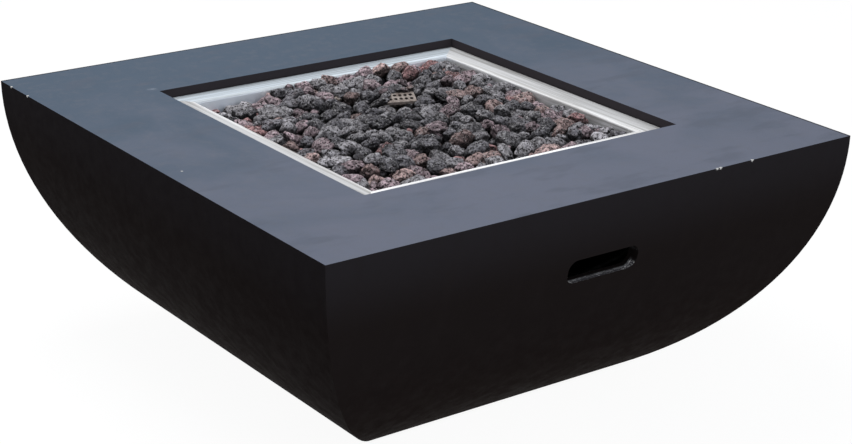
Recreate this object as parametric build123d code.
from build123d import *

import math
import os
import random

# Square gas fire table: a cast concrete bowl with a burner pan full of lava rock.
# Millimetres. The origin is on the floor below the middle of the table, +Z is up,
# the front with a hand slot faces -Y and the controls are in the +X side.

# --- Driving dimensions --------------------------------------------------------

# Concrete bowl
top_width = 871.0
overall_height = 371.0
base_width = 475.0
side_wall = 18.0
top_slab = 22.0
base_slab = 30.0
base_opening = 320.0
ledge_depth = 17.0
ledge_gap = 9.5
ledge_thickness = 20.0
collar_wall = 30.0
slot_length = 118.0
slot_height = 34.0
slot_corner = 14.0
slot_drop = 100.0
hose_notch_width = 36.0
hose_notch_height = 18.0

# Rubber feet and their screws
foot_diameter = 44.0
foot_height = 6.0
foot_inset = 32.0
foot_recess = 3.0
foot_head_room = 1.0
foot_screw_diameter = 5.0
foot_screw_head = 9.0
foot_screw_head_height = 2.0
foot_screw_length = 24.0

# Burner pan and its gasket
pan_inner = 452.0
pan_depth = 75.0
pan_sheet = 1.5
pan_bend = 2.5
flange_width = 37.0
flange_gap = 2.0
gasket_width = 18.0
gasket_thickness = 2.5
drain_hole = 10.0
drain_inset = 36.0
sensor_hole_gap = 0.3

# Double ring burner
ring_diameter = 289.0
inner_ring_diameter = 144.0
burner_tube = 16.0
ring_facets = 12
cross_tube = 14.0
burner_wall = 1.2
burner_height = 14.0
port_diameter = 2.0
port_spacing = 24.0
hub_diameter = 30.0
feed_diameter = 21.0
feed_wall = 2.5
feed_drop = 17.5
feed_hole_gap = 0.5
locknut_flats = 30.0
locknut_height = 8.0
stand_length = 24.0
stand_width = 16.0
stand_sheet = 1.5
stand_angles = (45, 135, 225, 315)

# Air mixer and orifice below the burner
mixer_diameter = 27.0
mixer_socket = 8.0
mixer_length = 66.0
mixer_bore = 16.0
air_window_width = 9.0
air_window_height = 14.0
air_window_rise = 14.0
orifice_flats = 22.0
orifice_hex = 12.0
orifice_thread = 14.0
orifice_thread_length = 10.0
jet_diameter = 1.6
jet_length = 3.0

# Heat shield hung below the pan
shield_width = 400.0
shield_sheet = 1.0
shield_skirt = 20.0
shield_gap = 40.0
shield_hole_gap = 0.5
shield_bolt_spacing = 300.0
spacer_diameter = 10.0
shield_screw_diameter = 5.0
shield_screw_head = 9.0
shield_head_height = 3.0
shield_screw_end = 1.0
shield_nut_flats = 8.0
shield_nut_height = 4.0

# Igniter guard, with the spark electrode and flame sensor in it
guard_x = 35.0
guard_y = 85.0
guard_turn = -20.0
guard_length = 45.0
guard_width = 38.0
guard_height = 81.0
guard_sheet = 1.0
guard_slope_run = 19.0
guard_slope_drop = 7.0
guard_lip = 4.0
guard_hole = 5.2
guard_pitch = 8.0
guard_first_row = 5.0
guard_wall_rows = 4
guard_foot = 11.5
guard_screw_line = 4.0
guard_screw_shift = 1.0
guard_ring_gap = 4.0
bracket_sheet = 1.5
bracket_length = 40.0
bracket_rise = 24.0
bracket_gap = 1.0
bracket_screw_inset = 8.0
bracket_foot_reach = 6.0
bracket_shelf_reach = 7.0
sensor_spacing = 20.0
insulator_diameter = 8.0
insulator_rise = 38.0
insulator_collar = 12.0
insulator_collar_height = 3.0
insulator_socket_floor = 5.0
sensor_tail = 7.5
electrode_diameter = 2.4
electrode_tip_gap = 5.0
electrode_tip_inset = 5.0
electrode_rise = 10.0
thermocouple_diameter = 5.0
thermocouple_rise = 44.0
thermocouple_collar = 8.0
thermocouple_collar_height = 4.0
pan_screw_diameter = 4.0
pan_screw_head = 7.6
pan_screw_head_height = 2.6
pan_screw_length = 8.0

# Lava rock
bed_depth = 44.0
bed_gap = 0.5
nut_room = 2.0
stone_size = 30.0
stone_gap = 1.0
stone_shake = 0.24
stone_seed = 11
stone_seat_share = 0.66
stone_belly_share = (0.88, 0.95)
stone_belly_rise = (0.38, 0.56)
stone_belly_points = (0.28, 0.72)
stone_top_share = (0.34, 0.50)
stone_top_shift = 3.0
stone_top_slope = 2.5
smallest_stone_share = 0.3
guard_stone_gap = 2.0
heap_rise = 6.2
heap_unevenness = 3.5
lowest_stone = 9.0
control_side_dip = 8.5
control_side_start = 0.58
back_corner_dip = 34.0
back_corner_start = 0.57
front_dip = 10.0
left_dip = 8.0
edge_start = 0.55
guard_hollow = 17.0
guard_hollow_reach = 52.0
guard_hollow_offset = 12.0

# Control panel in its pocket
pocket_width = 170.0
pocket_height = 96.0
pocket_corner = 8.0
panel_drop = 140.0
panel_sink = 6.0
panel_seat = 15.0
panel_sheet = 2.0
panel_gap = 1.0
boss_depth = 16.0
boss_rim = 16.0
insert_diameter = 7.0
insert_length = 10.0
panel_screw_diameter = 4.0
panel_screw_head = 7.6
panel_screw_head_height = 2.4
panel_screw_gap = 1.0
panel_screw_socket = 2.5
panel_screw_socket_depth = 1.2
knob_offset = -36.0
igniter_offset = 40.0

# Gas valve and knob
valve_length = 62.0
valve_width = 30.0
bonnet_thickness = 6.0
bonnet_screw_diameter = 3.0
bonnet_screw_head = 5.5
bonnet_screw_length = 12.0
bonnet_screw_head_height = 2.0
bonnet_screw_inset = 3.8
neck_diameter = 16.0
neck_length = 8.0
valve_nut_flats = 24.0
valve_nut_height = 4.0
chamber_diameter = 16.0
chamber_length = 34.0
stem_diameter = 6.0
stem_flange = 12.0
stem_flat_depth = 1.0
flange_thickness = 2.0
push_rod_diameter = 5.0
push_rod_length = 42.0
push_travel = 3.5
push_rod_end_gap = 1.0
spring_diameter = 10.0
spring_wire = 1.0
spring_pitch = 4.2
sensor_port_diameter = 10.0
sensor_port_length = 10.0
outlet_diameter = 14.0
outlet_length = 14.0
outlet_setback = 34.0
gas_passage = 7.0
bypass_bore = 3.0
inlet_setback = 48.0
inlet_flats = 20.0
inlet_hex = 10.0
inlet_thread_diameter = 15.8
inlet_thread_length = 14.0
inlet_cone = 3.0
knob_diameter = 44.0
knob_length = 22.0
knob_skirt = 5.0
knob_grip_diameter = 36.0
knob_cavity_diameter = 32.0
knob_cavity_depth = 7.0
knob_plate_gap = 4.5
knob_cap = 3.0
knob_chamfer = 1.5
flute_count = 12
flute_diameter = 5.0
pointer_width = 3.0
pointer_depth = 0.8
pointer_start = 3.0
pointer_inset = 2.5

# Igniter module and its button
housing_diameter = 22.0
housing_length = 58.0
housing_front = 10.0
housing_flange = 28.0
housing_flange_thickness = 3.0
housing_end_wall = 5.0
igniter_nut_flats = 28.0
igniter_nut_height = 4.0
terminal_diameter = 4.0
terminal_length = 8.0
cap_diameter = 30.0
cap_length = 12.0
cap_face = 4.0
cap_chamfer = 1.5
button_diameter = 14.0
button_rise = 5.0
button_rounding = 1.5
button_flange_diameter = 19.0
button_flange_thickness = 2.0
button_travel = 4.0
button_bore_diameter = 19.4
battery_diameter = 14.5
battery_length = 49.5
battery_nub_diameter = 5.5
battery_nub = 1.0
button_spring_diameter = 8.0
button_spring_wire = 0.8
button_spring_pitch = 3.0

# Gas hose and leads
hose_diameter = 14.0
hose_bore = 9.0
hose_nut_flats = 19.0
hose_nut_length = 14.0
hose_first_drop = 68.0
hose_low_x = 70.0
hose_low_y = 60.0
hose_low_drop = 96.0
hose_middle_x = 180.0
hose_middle_y = 126.0
hose_middle_drop = 88.0
hose_rise_x = 280.0
hose_rise_y = 166.0
hose_rise_drop = 42.0
hose_end_back = 16.0
hose_end_reach = 106.0
hose_end_drop = 38.0
hose_end_run = 58.0
ignition_lead_diameter = 3.0
ignition_lead_sway = 14.0
sensor_lead_diameter = 2.4
sensor_lead_sway = -16.0
lead_drop = 16.0
lead_bend_reach = 17.0
lead_run_drop = 23.0
lead_sag = 1.0

# Clearances, and how far a screw's shank runs into its head
running_gap = 0.05
fixed_gap = 0.05
stop_gap = 0.1
shank_root = 1.0

# --- Levels and places that follow from them -----------------------------------

# The opening takes the pan's flange, and the ledge in it leaves room for the pan.
flange_half = pan_inner / 2 + flange_width
opening_width = 2 * (flange_half + flange_gap)
ledge_half = pan_inner / 2 + pan_sheet + ledge_gap

z_top = overall_height
z_shell = foot_height
z_base_top = z_shell + base_slab
z_slab_low = z_top - top_slab
z_ledge = z_top - ledge_depth
z_flange_low = z_ledge + gasket_thickness
z_flange = z_flange_low + pan_sheet
z_floor = z_flange - pan_depth
z_floor_low = z_floor - pan_sheet
z_burner = z_floor + burner_height + burner_tube / 2
z_burner_top = z_burner + burner_tube / 2
z_feed_low = z_floor_low - feed_drop
z_mixer_top = z_feed_low + mixer_socket
z_mixer_low = z_mixer_top - mixer_length
z_hex_low = z_mixer_low - orifice_hex
z_orifice_low = z_hex_low - orifice_thread_length
z_shield = z_floor_low - shield_gap
z_shield_low = z_shield - shield_sheet
z_bed = z_floor + bed_depth
z_guard = z_floor + guard_height
z_shelf = z_floor + bracket_rise
z_panel = z_top - panel_drop

# The sides are arcs that start upright at the top edge and end at the base.
side_step = (top_width - base_width) / 2
shell_height = z_top - z_shell
side_radius = (side_step**2 + shell_height**2) / (2 * side_step)
arc_centre_x = top_width / 2 - side_radius

foot_reach = base_width / 2 - foot_inset
ring_radius = ring_diameter / 2
inner_ring_radius = inner_ring_diameter / 2
guard_place = Pos(guard_x, guard_y, 0) * Rot(0, 0, guard_turn)
guard_reach = math.hypot(guard_x, guard_y)
sensor_holes = [(-sensor_spacing / 2, 0.0), (sensor_spacing / 2, 0.0)]
guard_roof_slope = guard_slope_drop / guard_slope_run
guard_screw_reach = guard_length / 2 + guard_foot / 2 + guard_screw_shift
guard_screw_spots = [(side * guard_screw_reach, guard_screw_line) for side in (-1, 1)]
bracket_screw_spot = (0.0, guard_width / 2 - bracket_screw_inset)
screw_reach = shield_bolt_spacing / 2


def bowl_half_width(z, inset=0.0):
    """Half the width of the bowl at a height, or of its form moved in by inset."""
    drop = z_top - z
    return arc_centre_x + math.sqrt((side_radius - inset) ** 2 - drop**2)


# The panel's back face lies this far out, just inside the side at the pocket's foot.
x_panel = bowl_half_width(z_panel - pocket_height / 2) - panel_sink - panel_sheet
x_plate = x_panel + panel_sheet
x_bonnet = x_panel - bonnet_thickness
x_valve = x_panel - valve_length
x_chamber = x_bonnet - chamber_length
x_stem = x_bonnet - stop_gap - flange_thickness
x_knob = x_plate + knob_plate_gap
x_housing = x_panel - housing_length
x_housing_front = x_panel + housing_front
x_igniter_nut = x_plate + igniter_nut_height
x_cap_front = x_igniter_nut + cap_length
x_button_flange = x_cap_front - cap_face - stop_gap - button_flange_thickness
x_button_stop = x_button_flange - button_travel - stop_gap
x_battery = x_housing + housing_end_wall
y_knob = knob_offset
y_igniter = igniter_offset
y_outlet = y_knob - valve_width / 2 - outlet_length
z_inlet = z_panel - valve_width / 2

corner_signs = [(-1, -1), (1, -1), (1, 1), (-1, 1)]


# --- Helpers -------------------------------------------------------------------


def block(low, high):
    """Box from its lowest corner to its highest."""
    size = [high[i] - low[i] for i in range(3)]
    middle = [(high[i] + low[i]) / 2 for i in range(3)]
    return Pos(*middle) * Box(*size)


def square_block(half, z_low, z_high):
    """Box of square plan about the table's middle."""
    return block((-half, -half, z_low), (half, half, z_high))


def rod_z(diameter, z_low, z_high, x=0.0, y=0.0):
    """Upright cylinder."""
    return Pos(x, y, (z_low + z_high) / 2) * Cylinder(diameter / 2, z_high - z_low)


def rod_x(diameter, x_low, x_high, y=0.0, z=z_panel):
    """Cylinder along X, at the panel's height unless told otherwise."""
    middle = Pos((x_low + x_high) / 2, y, z)
    return middle * Rot(0, 90, 0) * Cylinder(diameter / 2, x_high - x_low)


def rod_y(diameter, y_low, y_high, x, z):
    """Cylinder along Y."""
    middle = Pos(x, (y_low + y_high) / 2, z)
    return middle * Rot(90, 0, 0) * Cylinder(diameter / 2, y_high - y_low)


def hexagon(flats, height):
    """Hexagonal prism on the XY plane, by its width across flats."""
    return extrude(RegularPolygon(flats / 2, 6, major_radius=False), height)


def hex_x(flats, x_low, x_high, y):
    """Hexagonal prism along X at the panel's height."""
    return Pos(x_low, y, z_panel) * Rot(0, 90, 0) * hexagon(flats, x_high - x_low)


def plate_x(width, height, corner, x_low, x_high):
    """Rounded plate that faces X, centred on the control panel."""
    outline = Plane.YZ * RectangleRounded(width, height, corner)
    return Pos(x_low, 0, z_panel) * extrude(outline, x_high - x_low)


def crossed(outline, reach):
    """Square form whose side view, along X and along Y, is the outline."""
    slab = extrude(outline, amount=reach, both=True)
    return slab & slab.rotate(Axis.Z, 90)


def bowl_form(inset, z_low, z_high):
    """The bowl's outer form moved in by inset, between two heights."""
    levels = (z_low, (z_low + z_high) / 2, z_high)
    right = [(bowl_half_width(z, inset), 0, z) for z in levels]
    left = [(-x, y, z) for x, y, z in right]
    outline = make_face(
        [
            Line(left[0], right[0]),
            ThreePointArc(*right),
            Line(right[2], left[2]),
            ThreePointArc(*reversed(left)),
        ]
    )
    return crossed(outline, top_width)


def pan_form(half, bend, z_low, z_high, rim_half):
    """Square tray form with a rounded turn from its wall out to its rim."""
    turn = bend * (1 - math.sqrt(0.5))
    right = [(half, 0, z_high - bend), (half + turn, 0, z_high - turn), (half + bend, 0, z_high)]
    left = [(-x, y, z) for x, y, z in right]
    outline = make_face(
        [
            Line((-half, 0, z_low), (half, 0, z_low)),
            Line((half, 0, z_low), right[0]),
            ThreePointArc(*right),
            Line(right[2], left[2]),
            ThreePointArc(*reversed(left)),
            Line(left[0], (-half, 0, z_low)),
        ]
    )
    return crossed(outline, rim_half)


def tube_path(points, name):
    """Straight runs joined by tangent arcs as large as the runs allow."""
    radii = []
    for i in range(1, len(points) - 1):
        before = Vector(*points[i]) - Vector(*points[i - 1])
        after = Vector(*points[i + 1]) - Vector(*points[i])
        half_turn = math.radians(before.get_angle(after) / 2)
        shorter = min(before.length, after.length)
        radii.append(0.45 * shorter / math.tan(half_turn))
    print(name, "radii", [round(r, 1) for r in radii])
    return FilletPolyline(*points, radius=radii)


def swept_tube(points, diameter, name, bore=0.0):
    """Tube or wire along a route."""
    path = tube_path(points, name)
    section = Circle(diameter / 2)
    area = math.pi * (diameter**2 - bore**2) / 4
    if bore:
        section = section - Circle(bore / 2)
    start = Plane(origin=path @ 0, z_dir=path % 0)
    tube = sweep(start * section, path=path)
    print(name, "volume over section times length", round(tube.volume / (area * path.length), 4))
    return tube


def coil_x(diameter, wire, pitch, x_low, x_high, y):
    """Coil spring along X, its wire just inside both ends."""
    height = x_high - x_low - wire
    middle = Pos(x_low + wire / 2, y, z_panel) * Rot(0, 90, 0)
    path = Helix(pitch=pitch, height=height, radius=diameter / 2)
    start = Plane(origin=path @ 0, z_dir=path % 0)
    return middle * sweep(start * Circle(wire / 2), path=path, is_frenet=True)


def largest_solid(shape):
    """The biggest solid of a shape that a cut may have split."""
    return max(shape.solids(), key=lambda solid: solid.volume)


def save(name, shape):
    """Writes one sub-part."""
    shape.label = name
    export_step(shape, f"parts/{name}.step")


def save_group(name, shapes):
    """Writes several separate solids as one sub-part."""
    solids = [solid for shape in shapes for solid in shape.solids()]
    save(name, Compound(children=solids))


# --- Concrete bowl -------------------------------------------------------------


def panel_corner_spots():
    """Y and Z of the panel's screws, in the middle of its seat."""
    y = pocket_width / 2 - panel_seat / 2
    z = pocket_height / 2 - panel_seat / 2
    return [(sy * y, z_panel + sz * z) for sy, sz in corner_signs]


def make_bowl_shell():
    collar_half = opening_width / 2 + collar_wall
    collar = square_block(collar_half, z_ledge - ledge_thickness, z_slab_low)
    boss_half_y = pocket_width / 2 + boss_rim
    boss_half_z = pocket_height / 2 + boss_rim
    boss = block(
        (x_panel - boss_depth, -boss_half_y, z_panel - boss_half_z),
        (top_width / 2, boss_half_y, z_panel + boss_half_z),
    )
    cavity = bowl_form(side_wall, z_base_top, z_slab_low) - collar - boss
    shell = bowl_form(0, z_shell, z_top) - cavity
    shell -= square_block(opening_width / 2, z_ledge, z_top + 1)
    shell -= square_block(ledge_half, z_ledge - ledge_thickness - 1, z_top)
    shell -= square_block(base_opening / 2, z_shell - 1, z_base_top + 1)
    slot = Plane.XZ * RectangleRounded(slot_length, slot_height, slot_corner)
    shell -= Pos(0, 0, z_top - slot_drop) * extrude(slot, amount=top_width, both=True)
    notch_half = hose_notch_width / 2
    shell -= block(
        (base_opening / 2 - 1, -notch_half, z_shell - 1),
        (base_width, notch_half, z_shell + hose_notch_height),
    )
    shell -= plate_x(pocket_width, pocket_height, pocket_corner, x_panel, top_width / 2)
    window_width = pocket_width - 2 * panel_seat
    window_height = pocket_height - 2 * panel_seat
    shell -= plate_x(window_width, window_height, pocket_corner, x_panel - 2 * boss_depth, x_panel)
    for y, z in panel_corner_spots():
        shell -= rod_x(insert_diameter + 2 * fixed_gap, x_panel - insert_length, x_panel, y, z)
    for sx, sy in corner_signs:
        x, y = sx * foot_reach, sy * foot_reach
        z_high = foot_recess + foot_screw_length
        shell -= rod_z(foot_screw_diameter + 2 * fixed_gap, z_shell, z_high, x, y)
    save("bowl_shell", shell)


def make_feet():
    feet = []
    screws = []
    for sx, sy in corner_signs:
        x, y = sx * foot_reach, sy * foot_reach
        foot = rod_z(foot_diameter, 0, foot_height, x, y)
        foot -= rod_z(foot_screw_head + foot_head_room, 0, foot_recess, x, y)
        foot -= rod_z(foot_screw_diameter + 2 * fixed_gap, 0, foot_height, x, y)
        feet.append(foot)
        head = rod_z(foot_screw_head, foot_recess - foot_screw_head_height, foot_recess, x, y)
        z_low = foot_recess - shank_root
        shank = rod_z(foot_screw_diameter, z_low, foot_recess + foot_screw_length, x, y)
        screws.append(head + shank)
    save_group("rubber_feet", feet)
    save_group("foot_screws", screws)


# --- Burner pan ----------------------------------------------------------------


def make_pan():
    half = pan_inner / 2
    lip = pan_bend + pan_sheet
    pan = pan_form(half + pan_sheet, pan_bend, z_floor_low, z_flange_low, flange_half)
    pan += square_block(flange_half, z_flange_low, z_flange)
    pan -= pan_form(half, lip, z_floor, z_flange, flange_half)
    pan -= rod_z(feed_diameter + 2 * feed_hole_gap, z_floor_low, z_floor)
    for sx, sy in corner_signs:
        x, y = sx * screw_reach, sy * screw_reach
        pan -= rod_z(shield_screw_diameter + 2 * fixed_gap, z_floor_low, z_floor, x, y)
        reach = half - drain_inset
        pan -= rod_z(drain_hole, z_floor_low, z_floor, sx * reach, sy * reach)
    sensor_sizes = (insulator_diameter, thermocouple_diameter)
    for (u, v), diameter in zip(sensor_holes, sensor_sizes):
        hole = rod_z(diameter + 2 * sensor_hole_gap, z_floor_low, z_floor, u, v)
        pan -= guard_place * hole
    for u, v in guard_screw_spots + [bracket_screw_spot]:
        hole = rod_z(pan_screw_diameter + 2 * fixed_gap, z_floor_low, z_floor, u, v)
        pan -= guard_place * hole
    save("burner_pan", pan)

    gasket_middle = (opening_width / 2 + ledge_half) / 2
    gasket = square_block(gasket_middle + gasket_width / 2, z_ledge, z_flange_low)
    gasket -= square_block(gasket_middle - gasket_width / 2, z_ledge, z_flange_low)
    save("pan_gasket", gasket)


def make_heat_shield():
    half = shield_width / 2
    shield = square_block(half, z_shield_low - shield_skirt, z_shield)
    shield -= square_block(half - shield_sheet, z_shield_low - shield_skirt, z_shield_low)
    shield -= rod_z(mixer_diameter + 2 * shield_hole_gap, z_shield_low, z_shield)
    spacers = []
    screws = []
    nuts = []
    hole = shield_screw_diameter + 2 * fixed_gap
    z_nut = z_floor + shield_nut_height
    for sx, sy in corner_signs:
        x, y = sx * screw_reach, sy * screw_reach
        shield -= rod_z(hole, z_shield_low, z_shield, x, y)
        spacer = rod_z(spacer_diameter, z_shield, z_floor_low, x, y)
        spacers.append(spacer - rod_z(hole, z_shield, z_floor_low, x, y))
        head = rod_z(shield_screw_head, z_shield_low - shield_head_height, z_shield_low, x, y)
        z_low = z_shield_low - shank_root
        shank = rod_z(shield_screw_diameter, z_low, z_nut + shield_screw_end, x, y)
        screws.append(head + shank)
        nut = Pos(x, y, z_floor) * hexagon(shield_nut_flats, shield_nut_height)
        nuts.append(nut - rod_z(hole, z_floor, z_nut, x, y))
    save("heat_shield", shield)
    save_group("shield_spacers", spacers)
    save_group("shield_screws", screws)
    save_group("shield_nuts", nuts)


# --- Burner, mixer and orifice -------------------------------------------------


def ring_tube(radius, size):
    """Ring of tube, its section a regular polygon with a flat top and bottom."""
    section = RegularPolygon(size / 2, ring_facets, major_radius=False, rotation=180 / ring_facets)
    return Pos(0, 0, z_burner) * revolve(Plane.XZ * Pos(radius, 0) * section, Axis.Z)


def burner_form(shrink, hub_height):
    """Rings, cross tube, hub and feed pipe as one form, each tube less its shrink."""
    ring_shrink, pipe_shrink = shrink
    form = rod_x(cross_tube - ring_shrink, -ring_radius, ring_radius, 0, z_burner)
    for radius in (ring_radius, inner_ring_radius):
        form += ring_tube(radius, burner_tube - ring_shrink)
    hub_low, hub_high = z_burner - hub_height / 2, z_burner + hub_height / 2
    form += rod_z(hub_diameter - pipe_shrink, hub_low, hub_high)
    form += rod_z(feed_diameter - pipe_shrink, z_feed_low, z_burner)
    return form


def port_angles(radius):
    """Angles of the flame ports round a ring, clear of the cross tube."""
    per_half = int(math.pi * radius / port_spacing)
    step = 180.0 / per_half
    return [step * (i + 0.5) for i in range(2 * per_half)]


def make_burner():
    hub_height = burner_tube + 2 * burner_wall
    burner = burner_form((0, 0), hub_height)
    burner -= burner_form((2 * burner_wall, 2 * feed_wall), burner_tube)
    ports = []
    for radius in (ring_radius, inner_ring_radius):
        for angle in port_angles(radius):
            x = radius * math.cos(math.radians(angle))
            y = radius * math.sin(math.radians(angle))
            ports.append(rod_z(port_diameter, z_burner, z_burner_top + 1, x, y))
    save("burner_ring", burner - ports)

    stands = []
    for angle in stand_angles:
        stand = block(
            (-stand_length / 2, -stand_width / 2, z_floor),
            (stand_length / 2, stand_width / 2, z_floor + burner_height),
        )
        stand -= block(
            (-stand_length / 2 + stand_sheet, -stand_width / 2, z_floor),
            (stand_length / 2 - stand_sheet, stand_width / 2, z_floor + burner_height - stand_sheet),
        )
        stands.append(Rot(0, 0, angle) * Pos(ring_radius, 0, 0) * stand)
    save_group("burner_stands", stands)

    nuts = []
    for z_low in (z_floor, z_floor_low - locknut_height):
        nut = Pos(0, 0, z_low) * hexagon(locknut_flats, locknut_height)
        hole = rod_z(feed_diameter + 2 * fixed_gap, z_low, z_low + locknut_height)
        nuts.append(nut - hole)
    save_group("burner_locknuts", nuts)


def make_air_mixer():
    mixer = rod_z(mixer_diameter, z_mixer_low, z_mixer_top)
    mixer -= rod_z(feed_diameter + 2 * fixed_gap, z_feed_low, z_mixer_top)
    mixer -= rod_z(mixer_bore, z_mixer_low + orifice_thread_length, z_mixer_top)
    mixer -= rod_z(orifice_thread + 2 * fixed_gap, z_mixer_low, z_mixer_top - mixer_length / 2)
    z_window = z_mixer_low + air_window_rise + air_window_height / 2
    window = Pos(0, 0, z_window) * Box(2 * mixer_diameter, air_window_width, air_window_height)
    mixer -= window
    mixer -= Rot(0, 0, 90) * window
    save("air_mixer", mixer)

    fitting = Pos(0, 0, z_hex_low) * hexagon(orifice_flats, orifice_hex)
    fitting += rod_z(orifice_thread, z_mixer_low, z_mixer_low + orifice_thread_length)
    fitting += rod_z(orifice_thread, z_orifice_low, z_hex_low)
    z_tip = z_mixer_low + orifice_thread_length
    fitting -= rod_z(orifice_thread / 2, z_orifice_low, z_tip - jet_length)
    fitting -= rod_z(jet_diameter, z_orifice_low, z_tip)
    save("orifice_fitting", fitting)


# --- Igniter guard, electrode and flame sensor ---------------------------------


def hole_row(length, margin):
    """Centres of a row of guard holes, evenly spread and clear of both ends."""
    count = int((length - 2 * margin) / guard_pitch) + 1
    return [guard_pitch * (i - (count - 1) / 2) for i in range(count)]


def guard_roof(v):
    """Height of the guard's roof, which slopes down towards its open front."""
    return min(z_guard, z_guard - guard_slope_drop + (v + guard_width / 2) * guard_roof_slope)


def guard_form(inset):
    """The guard's outer form moved in by inset on all sides but the floor."""
    half_u = guard_length / 2 - inset
    half_v = guard_width / 2 - inset
    fall = inset * math.hypot(1.0, guard_roof_slope)
    z_ceiling = z_guard - inset
    z_eave = guard_roof(-half_v) - fall
    v_bend = -half_v + (z_ceiling - z_eave) / guard_roof_slope
    corners = [(-half_v, z_floor), (-half_v, z_eave), (v_bend, z_ceiling)]
    corners += [(half_v, z_ceiling), (half_v, z_floor)]
    outline = make_face(Polyline(*[(0, v, z) for v, z in corners], close=True))
    return extrude(outline, amount=half_u, both=True)


def make_guard():
    half_u = guard_length / 2
    half_v = guard_width / 2
    inside_v = half_v - guard_sheet
    cage = guard_form(0.0) - guard_form(guard_sheet)
    z_lip = guard_roof(-half_v) - guard_lip
    cage -= block((-half_u, -half_v, z_floor), (half_u, -inside_v, z_lip))
    v_ring = inner_ring_radius + burner_tube / 2 + guard_ring_gap - guard_reach
    cage -= block((-half_u, -half_v, z_floor), (half_u, v_ring, z_burner_top + guard_ring_gap))
    for side in (-1, 1):
        edges = sorted((side * half_u, side * (half_u + guard_foot)))
        cage += block((edges[0], v_ring, z_floor), (edges[1], half_v, z_floor + guard_sheet))
    holes = []
    row_drops = [guard_first_row + guard_pitch * i for i in range(guard_wall_rows)]
    for u in hole_row(guard_length, guard_hole):
        for v in hole_row(guard_width, guard_hole):
            holes.append(rod_z(guard_hole, guard_roof(v) - guard_hole, z_guard + 1, u, v))
        for drop in row_drops:
            holes.append(rod_y(guard_hole, 0, half_v + 1, u, z_guard - drop))
    for v in hole_row(guard_width, guard_hole):
        for drop in row_drops:
            holes.append(rod_x(guard_hole, -half_u - 1, half_u + 1, v, guard_roof(v) - drop))
    for u, v in guard_screw_spots:
        holes.append(rod_z(pan_screw_diameter + 2 * fixed_gap, z_floor, z_floor + guard_sheet, u, v))
    save("igniter_guard", guard_place * (cage - holes))


def make_sensors():
    half = bracket_length / 2
    back = guard_width / 2 - guard_sheet - bracket_gap
    foot_front = bracket_screw_spot[1] - bracket_foot_reach
    bracket = block((-half, foot_front, z_floor), (half, back, z_floor + bracket_sheet))
    bracket += block((-half, back - bracket_sheet, z_floor), (half, back, z_shelf))
    shelf_low = (-half, -bracket_shelf_reach, z_shelf - bracket_sheet)
    bracket += block(shelf_low, (half, back, z_shelf))
    u, v = bracket_screw_spot
    z_high = z_floor + bracket_sheet
    bracket -= rod_z(pan_screw_diameter + 2 * fixed_gap, z_floor, z_high, u, v)
    sensor_sizes = (insulator_diameter, thermocouple_diameter)
    for (u, v), diameter in zip(sensor_holes, sensor_sizes):
        bracket -= rod_z(diameter + 2 * fixed_gap, z_shelf - bracket_sheet, z_shelf, u, v)
    save("sensor_bracket", guard_place * bracket)

    u, v = sensor_holes[0]
    z_low = z_floor_low - sensor_tail
    z_high = z_floor + insulator_rise
    z_socket = z_low + insulator_socket_floor
    insulator = rod_z(insulator_diameter, z_low, z_high, u, v)
    insulator += rod_z(insulator_collar, z_shelf, z_shelf + insulator_collar_height, u, v)
    insulator -= rod_z(electrode_diameter + 2 * fixed_gap, z_socket, z_high, u, v)
    save("electrode_insulator", guard_place * insulator)

    # The electrode leans over the inner ring and points down at its ports.
    v_tip = inner_ring_radius + electrode_tip_inset - guard_reach
    z_tip = z_burner_top + electrode_tip_gap
    z_bend = z_high + electrode_rise
    route = [(u, v, z_socket), (u, v, z_bend), (u, v_tip, z_bend), (u, v_tip, z_tip)]
    electrode = swept_tube(route, electrode_diameter, "spark electrode")
    save("spark_electrode", guard_place * electrode)

    u, v = sensor_holes[1]
    z_high = z_floor + thermocouple_rise
    sensor = rod_z(thermocouple_diameter, z_low, z_high, u, v)
    z_collar = z_shelf + thermocouple_collar_height
    sensor += rod_z(thermocouple_collar, z_shelf, z_collar, u, v)
    save("thermocouple", guard_place * sensor)

    screws = []
    seats = [(spot, z_floor + guard_sheet) for spot in guard_screw_spots]
    seats.append((bracket_screw_spot, z_floor + bracket_sheet))
    for (u, v), z_seat in seats:
        head = rod_z(pan_screw_head, z_seat, z_seat + pan_screw_head_height, u, v)
        z_end = z_seat - pan_screw_length
        shank = rod_z(pan_screw_diameter, z_end, z_seat + shank_root, u, v)
        screws.append(guard_place * (head + shank))
    save_group("pan_screws", screws)


# --- Lava rock -----------------------------------------------------------------


def ring_channel(diameter):
    """Room for one burner ring, open below."""
    tube = burner_tube + 2 * bed_gap
    z_high = z_burner_top + bed_gap
    return rod_z(diameter + tube, z_floor, z_high) - rod_z(diameter - tube, z_floor, z_high)


def guard_room(gap):
    """Room that the rock leaves for the guard and what it covers."""
    half_u = guard_length / 2 + gap
    half_v = guard_width / 2 + gap
    room = block((-half_u, -half_v, z_floor), (half_u, half_v, z_top))
    foot_u = half_u + guard_foot
    z_high = z_floor + guard_sheet + pan_screw_head_height + gap
    room += block((-foot_u, -half_v, z_floor), (foot_u, half_v, z_high))
    return guard_place * room


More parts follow.
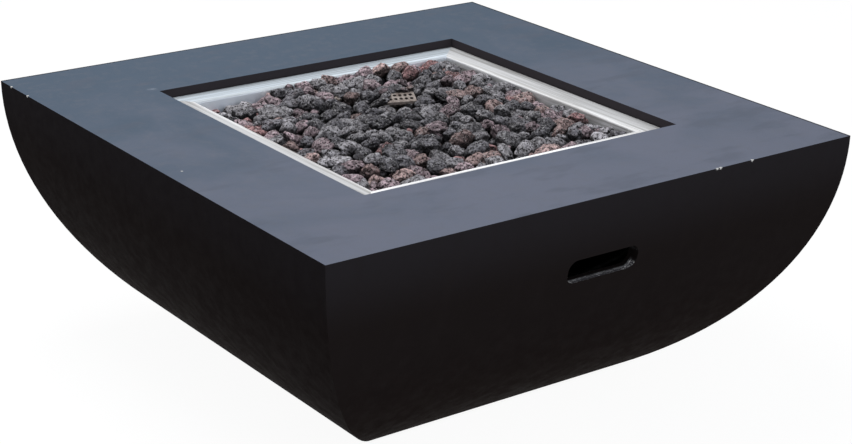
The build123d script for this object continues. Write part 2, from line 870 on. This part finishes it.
def make_rock_bed():
    half = pan_inner / 2 - bed_gap
    bed = square_block(half, z_floor, z_bed)
    bed -= ring_channel(ring_diameter)
    bed -= ring_channel(inner_ring_diameter)
    side = burner_tube / 2 + bed_gap
    reach = ring_radius + side
    z_high = z_burner_top + bed_gap
    bed -= block((-reach, -side, z_floor), (reach, side, z_high))
    hub_room = max(hub_diameter, locknut_flats / math.cos(math.radians(30))) + 2 * bed_gap
    bed -= rod_z(hub_room, z_floor, z_high + 2 * burner_wall)
    stand_x = stand_length / 2 + bed_gap
    stand_y = stand_width / 2 + bed_gap
    for angle in stand_angles:
        stand_room = block(
            (-stand_x, -stand_y, z_floor), (stand_x, stand_y, z_floor + burner_height + bed_gap)
        )
        bed -= Rot(0, 0, angle) * Pos(ring_radius, 0, 0) * stand_room
    for sx, sy in corner_signs:
        x, y = sx * screw_reach, sy * screw_reach
        z_high = z_floor + shield_nut_height + nut_room
        bed -= rod_z(2 * shield_nut_flats, z_floor, z_high, x, y)
    bed -= guard_room(bed_gap)
    save("lava_rock_bed", largest_solid(bed))


def heap_top(x, y):
    """Height of the stone tops: a low crown that dips at some sides and at the guard."""
    half = pan_inner / 2
    u, v = x / half, y / half
    falls = [
        (control_side_dip, control_side_start, u),
        (back_corner_dip, back_corner_start, (v - u) / 2),
        (front_dip, edge_start, -v),
        (left_dip, edge_start, -u),
    ]
    dips = [dip * (reach - start) / (1 - start) for dip, start, reach in falls]
    front = guard_place * Pos(0, -guard_width / 2 - guard_hollow_offset, 0)
    distance = math.hypot(x - front.position.X, y - front.position.Y)
    dips.append(guard_hollow * (1 - distance / guard_hollow_reach))
    return z_flange + heap_rise - max(0.0, *dips)


def stone_corners():
    """Corner points of an uneven grid that fills the pan."""
    chance = random.Random(stone_seed)
    count = round(pan_inner / stone_size)
    half = pan_inner / 2 - stone_gap
    pitch = 2 * half / count
    rows = []
    for i in range(count + 1):
        row = []
        for j in range(count + 1):
            x, y = -half + i * pitch, -half + j * pitch
            if 0 < i < count:
                x += chance.uniform(-stone_shake, stone_shake) * pitch
            if 0 < j < count:
                y += chance.uniform(-stone_shake, stone_shake) * pitch
            row.append((x, y))
        rows.append(row)
    return rows


def stone_points(corners, height, chance):
    """Points of one stone: flat seat, wide belly and small top, inside its own cell."""
    cx = sum(x for x, y in corners) / 4
    cy = sum(y for x, y in corners) / 4

    def ring(share, shift, z):
        return [(cx + (x - cx) * share + shift, cy + (y - cy) * share, z) for x, y in corners]

    belly = []
    for i in range(4):
        ax, ay = corners[i]
        bx, by = corners[(i + 1) % 4]
        for along in stone_belly_points:
            x, y = ax + (bx - ax) * along, ay + (by - ay) * along
            share = chance.uniform(*stone_belly_share)
            z = z_bed + height * chance.uniform(*stone_belly_rise)
            belly.append((cx + (x - cx) * share, cy + (y - cy) * share, z))
    seat = ring(stone_seat_share, 0, z_bed)
    top_share = chance.uniform(*stone_top_share)
    top_shift = chance.uniform(-stone_top_shift, stone_top_shift)
    top = ring(top_share, top_shift, z_bed + height)
    top = [(x, y, z - chance.uniform(0, stone_top_slope)) for x, y, z in top]
    return seat + belly + top


def make_stones():
    chance = random.Random(stone_seed + 1)
    grid = stone_corners()
    room = guard_room(guard_stone_gap)
    keep_out = math.hypot(guard_length, guard_width) / 2 + stone_size
    stones = []
    for i in range(len(grid) - 1):
        for j in range(len(grid) - 1):
            corners = [grid[i][j], grid[i + 1][j], grid[i + 1][j + 1], grid[i][j + 1]]
            cx = sum(x for x, y in corners) / 4
            cy = sum(y for x, y in corners) / 4
            height = heap_top(cx, cy) + chance.uniform(-1, 1) * heap_unevenness - z_bed
            height = max(height, lowest_stone)
            stone = ConvexPolyhedron(stone_points(corners, height, chance))
            if math.hypot(cx - guard_x, cy - guard_y) < keep_out:
                whole = stone.volume
                stone = stone - room
                if stone.volume < smallest_stone_share * whole:
                    continue
                stone = largest_solid(stone)
            stones.append(stone)
    save_group("lava_rock_stones", stones)


# --- Control panel -------------------------------------------------------------


def make_panel():
    width = pocket_width - 2 * panel_gap
    height = pocket_height - 2 * panel_gap
    panel = plate_x(width, height, pocket_corner - panel_gap, x_panel, x_plate)
    panel -= rod_x(neck_diameter + 2 * fixed_gap, x_panel, x_plate, y_knob)
    panel -= rod_x(housing_diameter + 2 * fixed_gap, x_panel, x_plate, y_igniter)
    inserts = []
    screws = []
    screw_hole = panel_screw_diameter + 2 * fixed_gap
    for y, z in panel_corner_spots():
        panel -= rod_x(screw_hole, x_panel, x_plate, y, z)
        insert = rod_x(insert_diameter, x_panel - insert_length, x_panel, y, z)
        inserts.append(insert - rod_x(screw_hole, x_panel - insert_length, x_panel, y, z))
        x_head = x_plate + panel_screw_head_height
        head = rod_x(panel_screw_head, x_plate, x_head, y, z)
        x_end = x_panel - insert_length + panel_screw_gap
        shank = rod_x(panel_screw_diameter, x_end, x_plate + shank_root, y, z)
        socket = hexagon(panel_screw_socket, panel_screw_head_height)
        socket = Pos(x_head - panel_screw_socket_depth, y, z) * Rot(0, 90, 0) * socket
        screws.append(head + shank - socket)
    save("control_panel", panel)
    save_group("panel_inserts", inserts)
    save_group("panel_screws", screws)


# --- Gas valve and knob --------------------------------------------------------


def make_valve():
    half = valve_width / 2
    body = block(
        (x_valve, y_knob - half, z_panel - half), (x_bonnet, y_knob + half, z_panel + half)
    )
    body += rod_x(sensor_port_diameter, x_valve - sensor_port_length, x_valve, y_knob)
    x_outlet = x_panel - outlet_setback
    body += rod_y(outlet_diameter, y_outlet, y_knob - half, x_outlet, z_panel)
    body -= rod_x(chamber_diameter, x_chamber, x_bonnet, y_knob)
    rod_room = push_rod_length + push_travel + push_rod_end_gap
    body -= rod_x(push_rod_diameter + 2 * running_gap, x_stem - rod_room, x_bonnet, y_knob)
    body -= rod_y(gas_passage, y_outlet, y_knob, x_outlet, z_panel)
    x_inlet = x_panel - inlet_setback
    body -= rod_z(gas_passage, z_inlet, z_panel - push_rod_diameter, x_inlet, y_knob)
    body -= rod_x(bypass_bore, x_inlet, x_chamber + 1, y_knob, z_panel - push_rod_diameter)

    x_neck = x_panel + neck_length
    bonnet = block(
        (x_bonnet, y_knob - half, z_panel - half), (x_panel, y_knob + half, z_panel + half)
    )
    bonnet += rod_x(neck_diameter, x_panel, x_neck, y_knob)
    bonnet -= rod_x(stem_diameter + 2 * running_gap, x_bonnet, x_neck, y_knob)
    screws = []
    for side in (-1, 1):
        y = y_knob + side * (half - bonnet_screw_inset)
        z = z_panel + side * (half - bonnet_screw_inset)
        x_end = x_panel - bonnet_screw_length
        x_seat = x_panel - bonnet_screw_head_height
        hole = rod_x(bonnet_screw_diameter + 2 * fixed_gap, x_end, x_panel, y, z)
        body -= hole
        bonnet -= hole
        bonnet -= rod_x(bonnet_screw_head + 2 * fixed_gap, x_seat, x_panel, y, z)
        head = rod_x(bonnet_screw_head, x_seat, x_panel - stop_gap, y, z)
        shank = rod_x(bonnet_screw_diameter, x_end, x_seat + shank_root, y, z)
        screws.append(head + shank)
    save("valve_body", body)
    save("valve_bonnet", bonnet)
    save_group("bonnet_screws", screws)

    x_nut = x_plate + valve_nut_height
    nut = hex_x(valve_nut_flats, x_plate, x_nut, y_knob)
    nut -= rod_x(neck_diameter + 2 * fixed_gap, x_plate, x_nut, y_knob)
    save("valve_nut", nut)

    x_collar = x_stem - flange_thickness
    push_rod = rod_x(stem_flange, x_collar, x_stem, y_knob)
    push_rod += rod_x(push_rod_diameter, x_stem - push_rod_length, x_stem, y_knob)
    save("valve_push_rod", push_rod)
    spring = coil_x(spring_diameter, spring_wire, spring_pitch, x_chamber, x_collar, y_knob)
    save("valve_spring", spring)


def make_inlet():
    """Male flare fitting below the valve, where the supply hose is joined."""
    x_inlet = x_panel - inlet_setback
    z_thread = z_inlet - inlet_hex
    z_low = z_thread - inlet_thread_length
    fitting = Pos(x_inlet, y_knob, z_thread) * hexagon(inlet_flats, inlet_hex)
    fitting += rod_z(inlet_thread_diameter, z_low, z_thread, x_inlet, y_knob)
    cone_low = inlet_thread_diameter / 2 - inlet_cone
    cone = Cone(cone_low, inlet_thread_diameter / 2, inlet_cone)
    fitting += Pos(x_inlet, y_knob, z_low - inlet_cone / 2) * cone
    fitting -= rod_z(gas_passage, z_low - inlet_cone, z_inlet, x_inlet, y_knob)
    save("inlet_fitting", fitting)


def make_knob():
    x_back = x_knob
    x_front = x_back + knob_length
    x_cavity = x_back + knob_cavity_depth
    x_shaft = x_front - knob_cap
    stem = rod_x(stem_flange, x_stem, x_stem + flange_thickness, y_knob)
    stem += rod_x(stem_diameter, x_stem, x_shaft - 1, y_knob)
    flat = stem_diameter / 2 - stem_flat_depth
    cut_low = (x_cavity + 1, y_knob - stem_diameter, z_panel + flat)
    cut_high = (x_shaft + 1, y_knob + stem_diameter, z_panel + stem_diameter)
    stem -= block(cut_low, cut_high)
    save("valve_stem", stem)

    knob = rod_x(knob_diameter, x_back, x_back + knob_skirt, y_knob)
    grip = rod_x(knob_grip_diameter, x_back, x_front, y_knob)
    grip = chamfer(grip.edges().group_by(Axis.X)[-1], knob_chamfer)
    flutes = []
    for i in range(flute_count):
        angle = math.radians(360 * (i + 0.5) / flute_count)
        y = y_knob + knob_grip_diameter / 2 * math.cos(angle)
        z = z_panel + knob_grip_diameter / 2 * math.sin(angle)
        flutes.append(rod_x(flute_diameter, x_back + knob_skirt, x_front, y, z))
    knob += grip - flutes
    knob -= rod_x(knob_cavity_diameter, x_back, x_cavity, y_knob)
    bore = rod_x(stem_diameter + 2 * fixed_gap, x_cavity, x_shaft, y_knob)
    bore -= block(
        (x_cavity + 1 + fixed_gap, y_knob - stem_diameter, z_panel + flat + fixed_gap),
        (x_shaft, y_knob + stem_diameter, z_panel + stem_diameter),
    )
    knob -= bore
    z_pointer = z_panel + knob_grip_diameter / 2 - pointer_inset
    knob -= block(
        (x_front - pointer_depth, y_knob - pointer_width / 2, z_panel + pointer_start),
        (x_front + 1, y_knob + pointer_width / 2, z_pointer),
    )
    save("control_knob", knob)


# --- Igniter -------------------------------------------------------------------


def make_igniter():
    bore = battery_diameter + 2 * fixed_gap
    thread = housing_diameter + 2 * fixed_gap
    housing = rod_x(housing_diameter, x_housing, x_housing_front, y_igniter)
    x_flange = x_panel - housing_flange_thickness
    housing += rod_x(housing_flange, x_flange, x_panel, y_igniter)
    housing += rod_x(terminal_diameter, x_housing - terminal_length, x_housing, y_igniter)
    housing -= rod_x(bore, x_battery, x_housing_front, y_igniter)
    housing -= rod_x(button_bore_diameter, x_button_stop, x_housing_front, y_igniter)
    save("igniter_housing", housing)

    nut = hex_x(igniter_nut_flats, x_plate, x_igniter_nut, y_igniter)
    nut -= rod_x(thread, x_plate, x_igniter_nut, y_igniter)
    save("igniter_nut", nut)

    cap = rod_x(cap_diameter, x_igniter_nut, x_cap_front, y_igniter)
    cap = chamfer(cap.edges().group_by(Axis.X)[-1], cap_chamfer)
    cap -= rod_x(thread, x_igniter_nut, x_cap_front - cap_face, y_igniter)
    cap -= rod_x(button_diameter + 2 * running_gap, x_igniter_nut, x_cap_front, y_igniter)
    save("igniter_cap", cap)

    x_flange_front = x_button_flange + button_flange_thickness
    button = rod_x(button_flange_diameter, x_button_flange, x_flange_front, y_igniter)
    post = rod_x(button_diameter, x_button_flange, x_cap_front + button_rise, y_igniter)
    button += fillet(post.edges().group_by(Axis.X)[-1], button_rounding)
    save("igniter_button", button)

    x_cell = x_battery + battery_length
    battery = rod_x(battery_diameter, x_battery, x_cell, y_igniter)
    battery += rod_x(battery_nub_diameter, x_cell, x_cell + battery_nub, y_igniter)
    save("battery", battery)
    spring = coil_x(
        button_spring_diameter,
        button_spring_wire,
        button_spring_pitch,
        x_cell,
        x_button_flange,
        y_igniter,
    )
    save("button_spring", spring)


# --- Gas hose and leads --------------------------------------------------------


def make_hose():
    """Flexible connector from the valve's outlet round to the orifice fitting."""
    x_outlet = x_panel - outlet_setback
    start = (0, 0, z_orifice_low)
    end = (x_outlet, y_outlet, z_panel)
    route = [
        start,
        (0, 0, start[2] - hose_first_drop),
        (hose_low_x, -hose_low_y, start[2] - hose_low_drop),
        (hose_middle_x, -hose_middle_y, start[2] - hose_middle_drop),
        (hose_rise_x, -hose_rise_y, start[2] - hose_rise_drop),
        (end[0] - hose_end_back, end[1] - hose_end_reach, end[2] - hose_end_drop),
        (end[0], end[1] - hose_end_run, end[2]),
        end,
    ]
    save("gas_hose", swept_tube(route, hose_diameter, "gas hose", hose_bore))

    wide = hose_diameter + 2 * fixed_gap
    nut = hexagon(hose_nut_flats, hose_nut_length)
    nut -= Cylinder(wide / 2, 2 * hose_nut_length)
    lower = Pos(0, 0, start[2] - hose_nut_length) * nut
    upper = Pos(end[0], end[1] - hose_nut_length, end[2]) * Rot(-90, 0, 0) * nut
    save_group("hose_nuts", [lower, upper])


def make_leads():
    """Ignition lead and flame sensor lead, from the guard to the panel."""
    z_start = z_floor_low - sensor_tail
    z_run = z_start - lead_run_drop
    spots = [guard_place * Pos(u, v, 0) for u, v in sensor_holes]
    ends = [
        (x_housing - terminal_length, y_igniter, z_panel),
        (x_valve - sensor_port_length, y_knob, z_panel),
    ]
    names = ("ignition_lead", "thermocouple_lead")
    sizes = (ignition_lead_diameter, sensor_lead_diameter)
    sways = (ignition_lead_sway, sensor_lead_sway)
    for name, size, spot, end, sway in zip(names, sizes, spots, ends, sways):
        x, y = spot.position.X, spot.position.Y
        run = end[0] - x
        rise = end[1] - y
        route = [
            (x, y, z_start),
            (x, y, z_start - lead_drop),
            (x + lead_bend_reach, y + sway / 4, z_run),
            (x + run * 0.24, y + rise * 0.08 + sway, z_run + lead_sag),
            (x + run * 0.44, y + rise * 0.30 + sway, z_run + 2 * lead_sag),
            (x + run * 0.62, y + rise * 0.55, z_run + 3 * lead_sag),
            (x + run * 0.77, y + rise * 0.80, z_run - 2 * lead_sag),
            (x + run * 0.89, end[1], z_panel),
            end,
        ]
        save(name, swept_tube(route, size, name))


os.makedirs("parts", exist_ok=True)
make_bowl_shell()
make_feet()
make_pan()
make_heat_shield()
make_burner()
make_air_mixer()
make_guard()
make_sensors()
make_rock_bed()
make_stones()
make_panel()
make_valve()
make_inlet()
make_knob()
make_igniter()
make_hose()
make_leads()
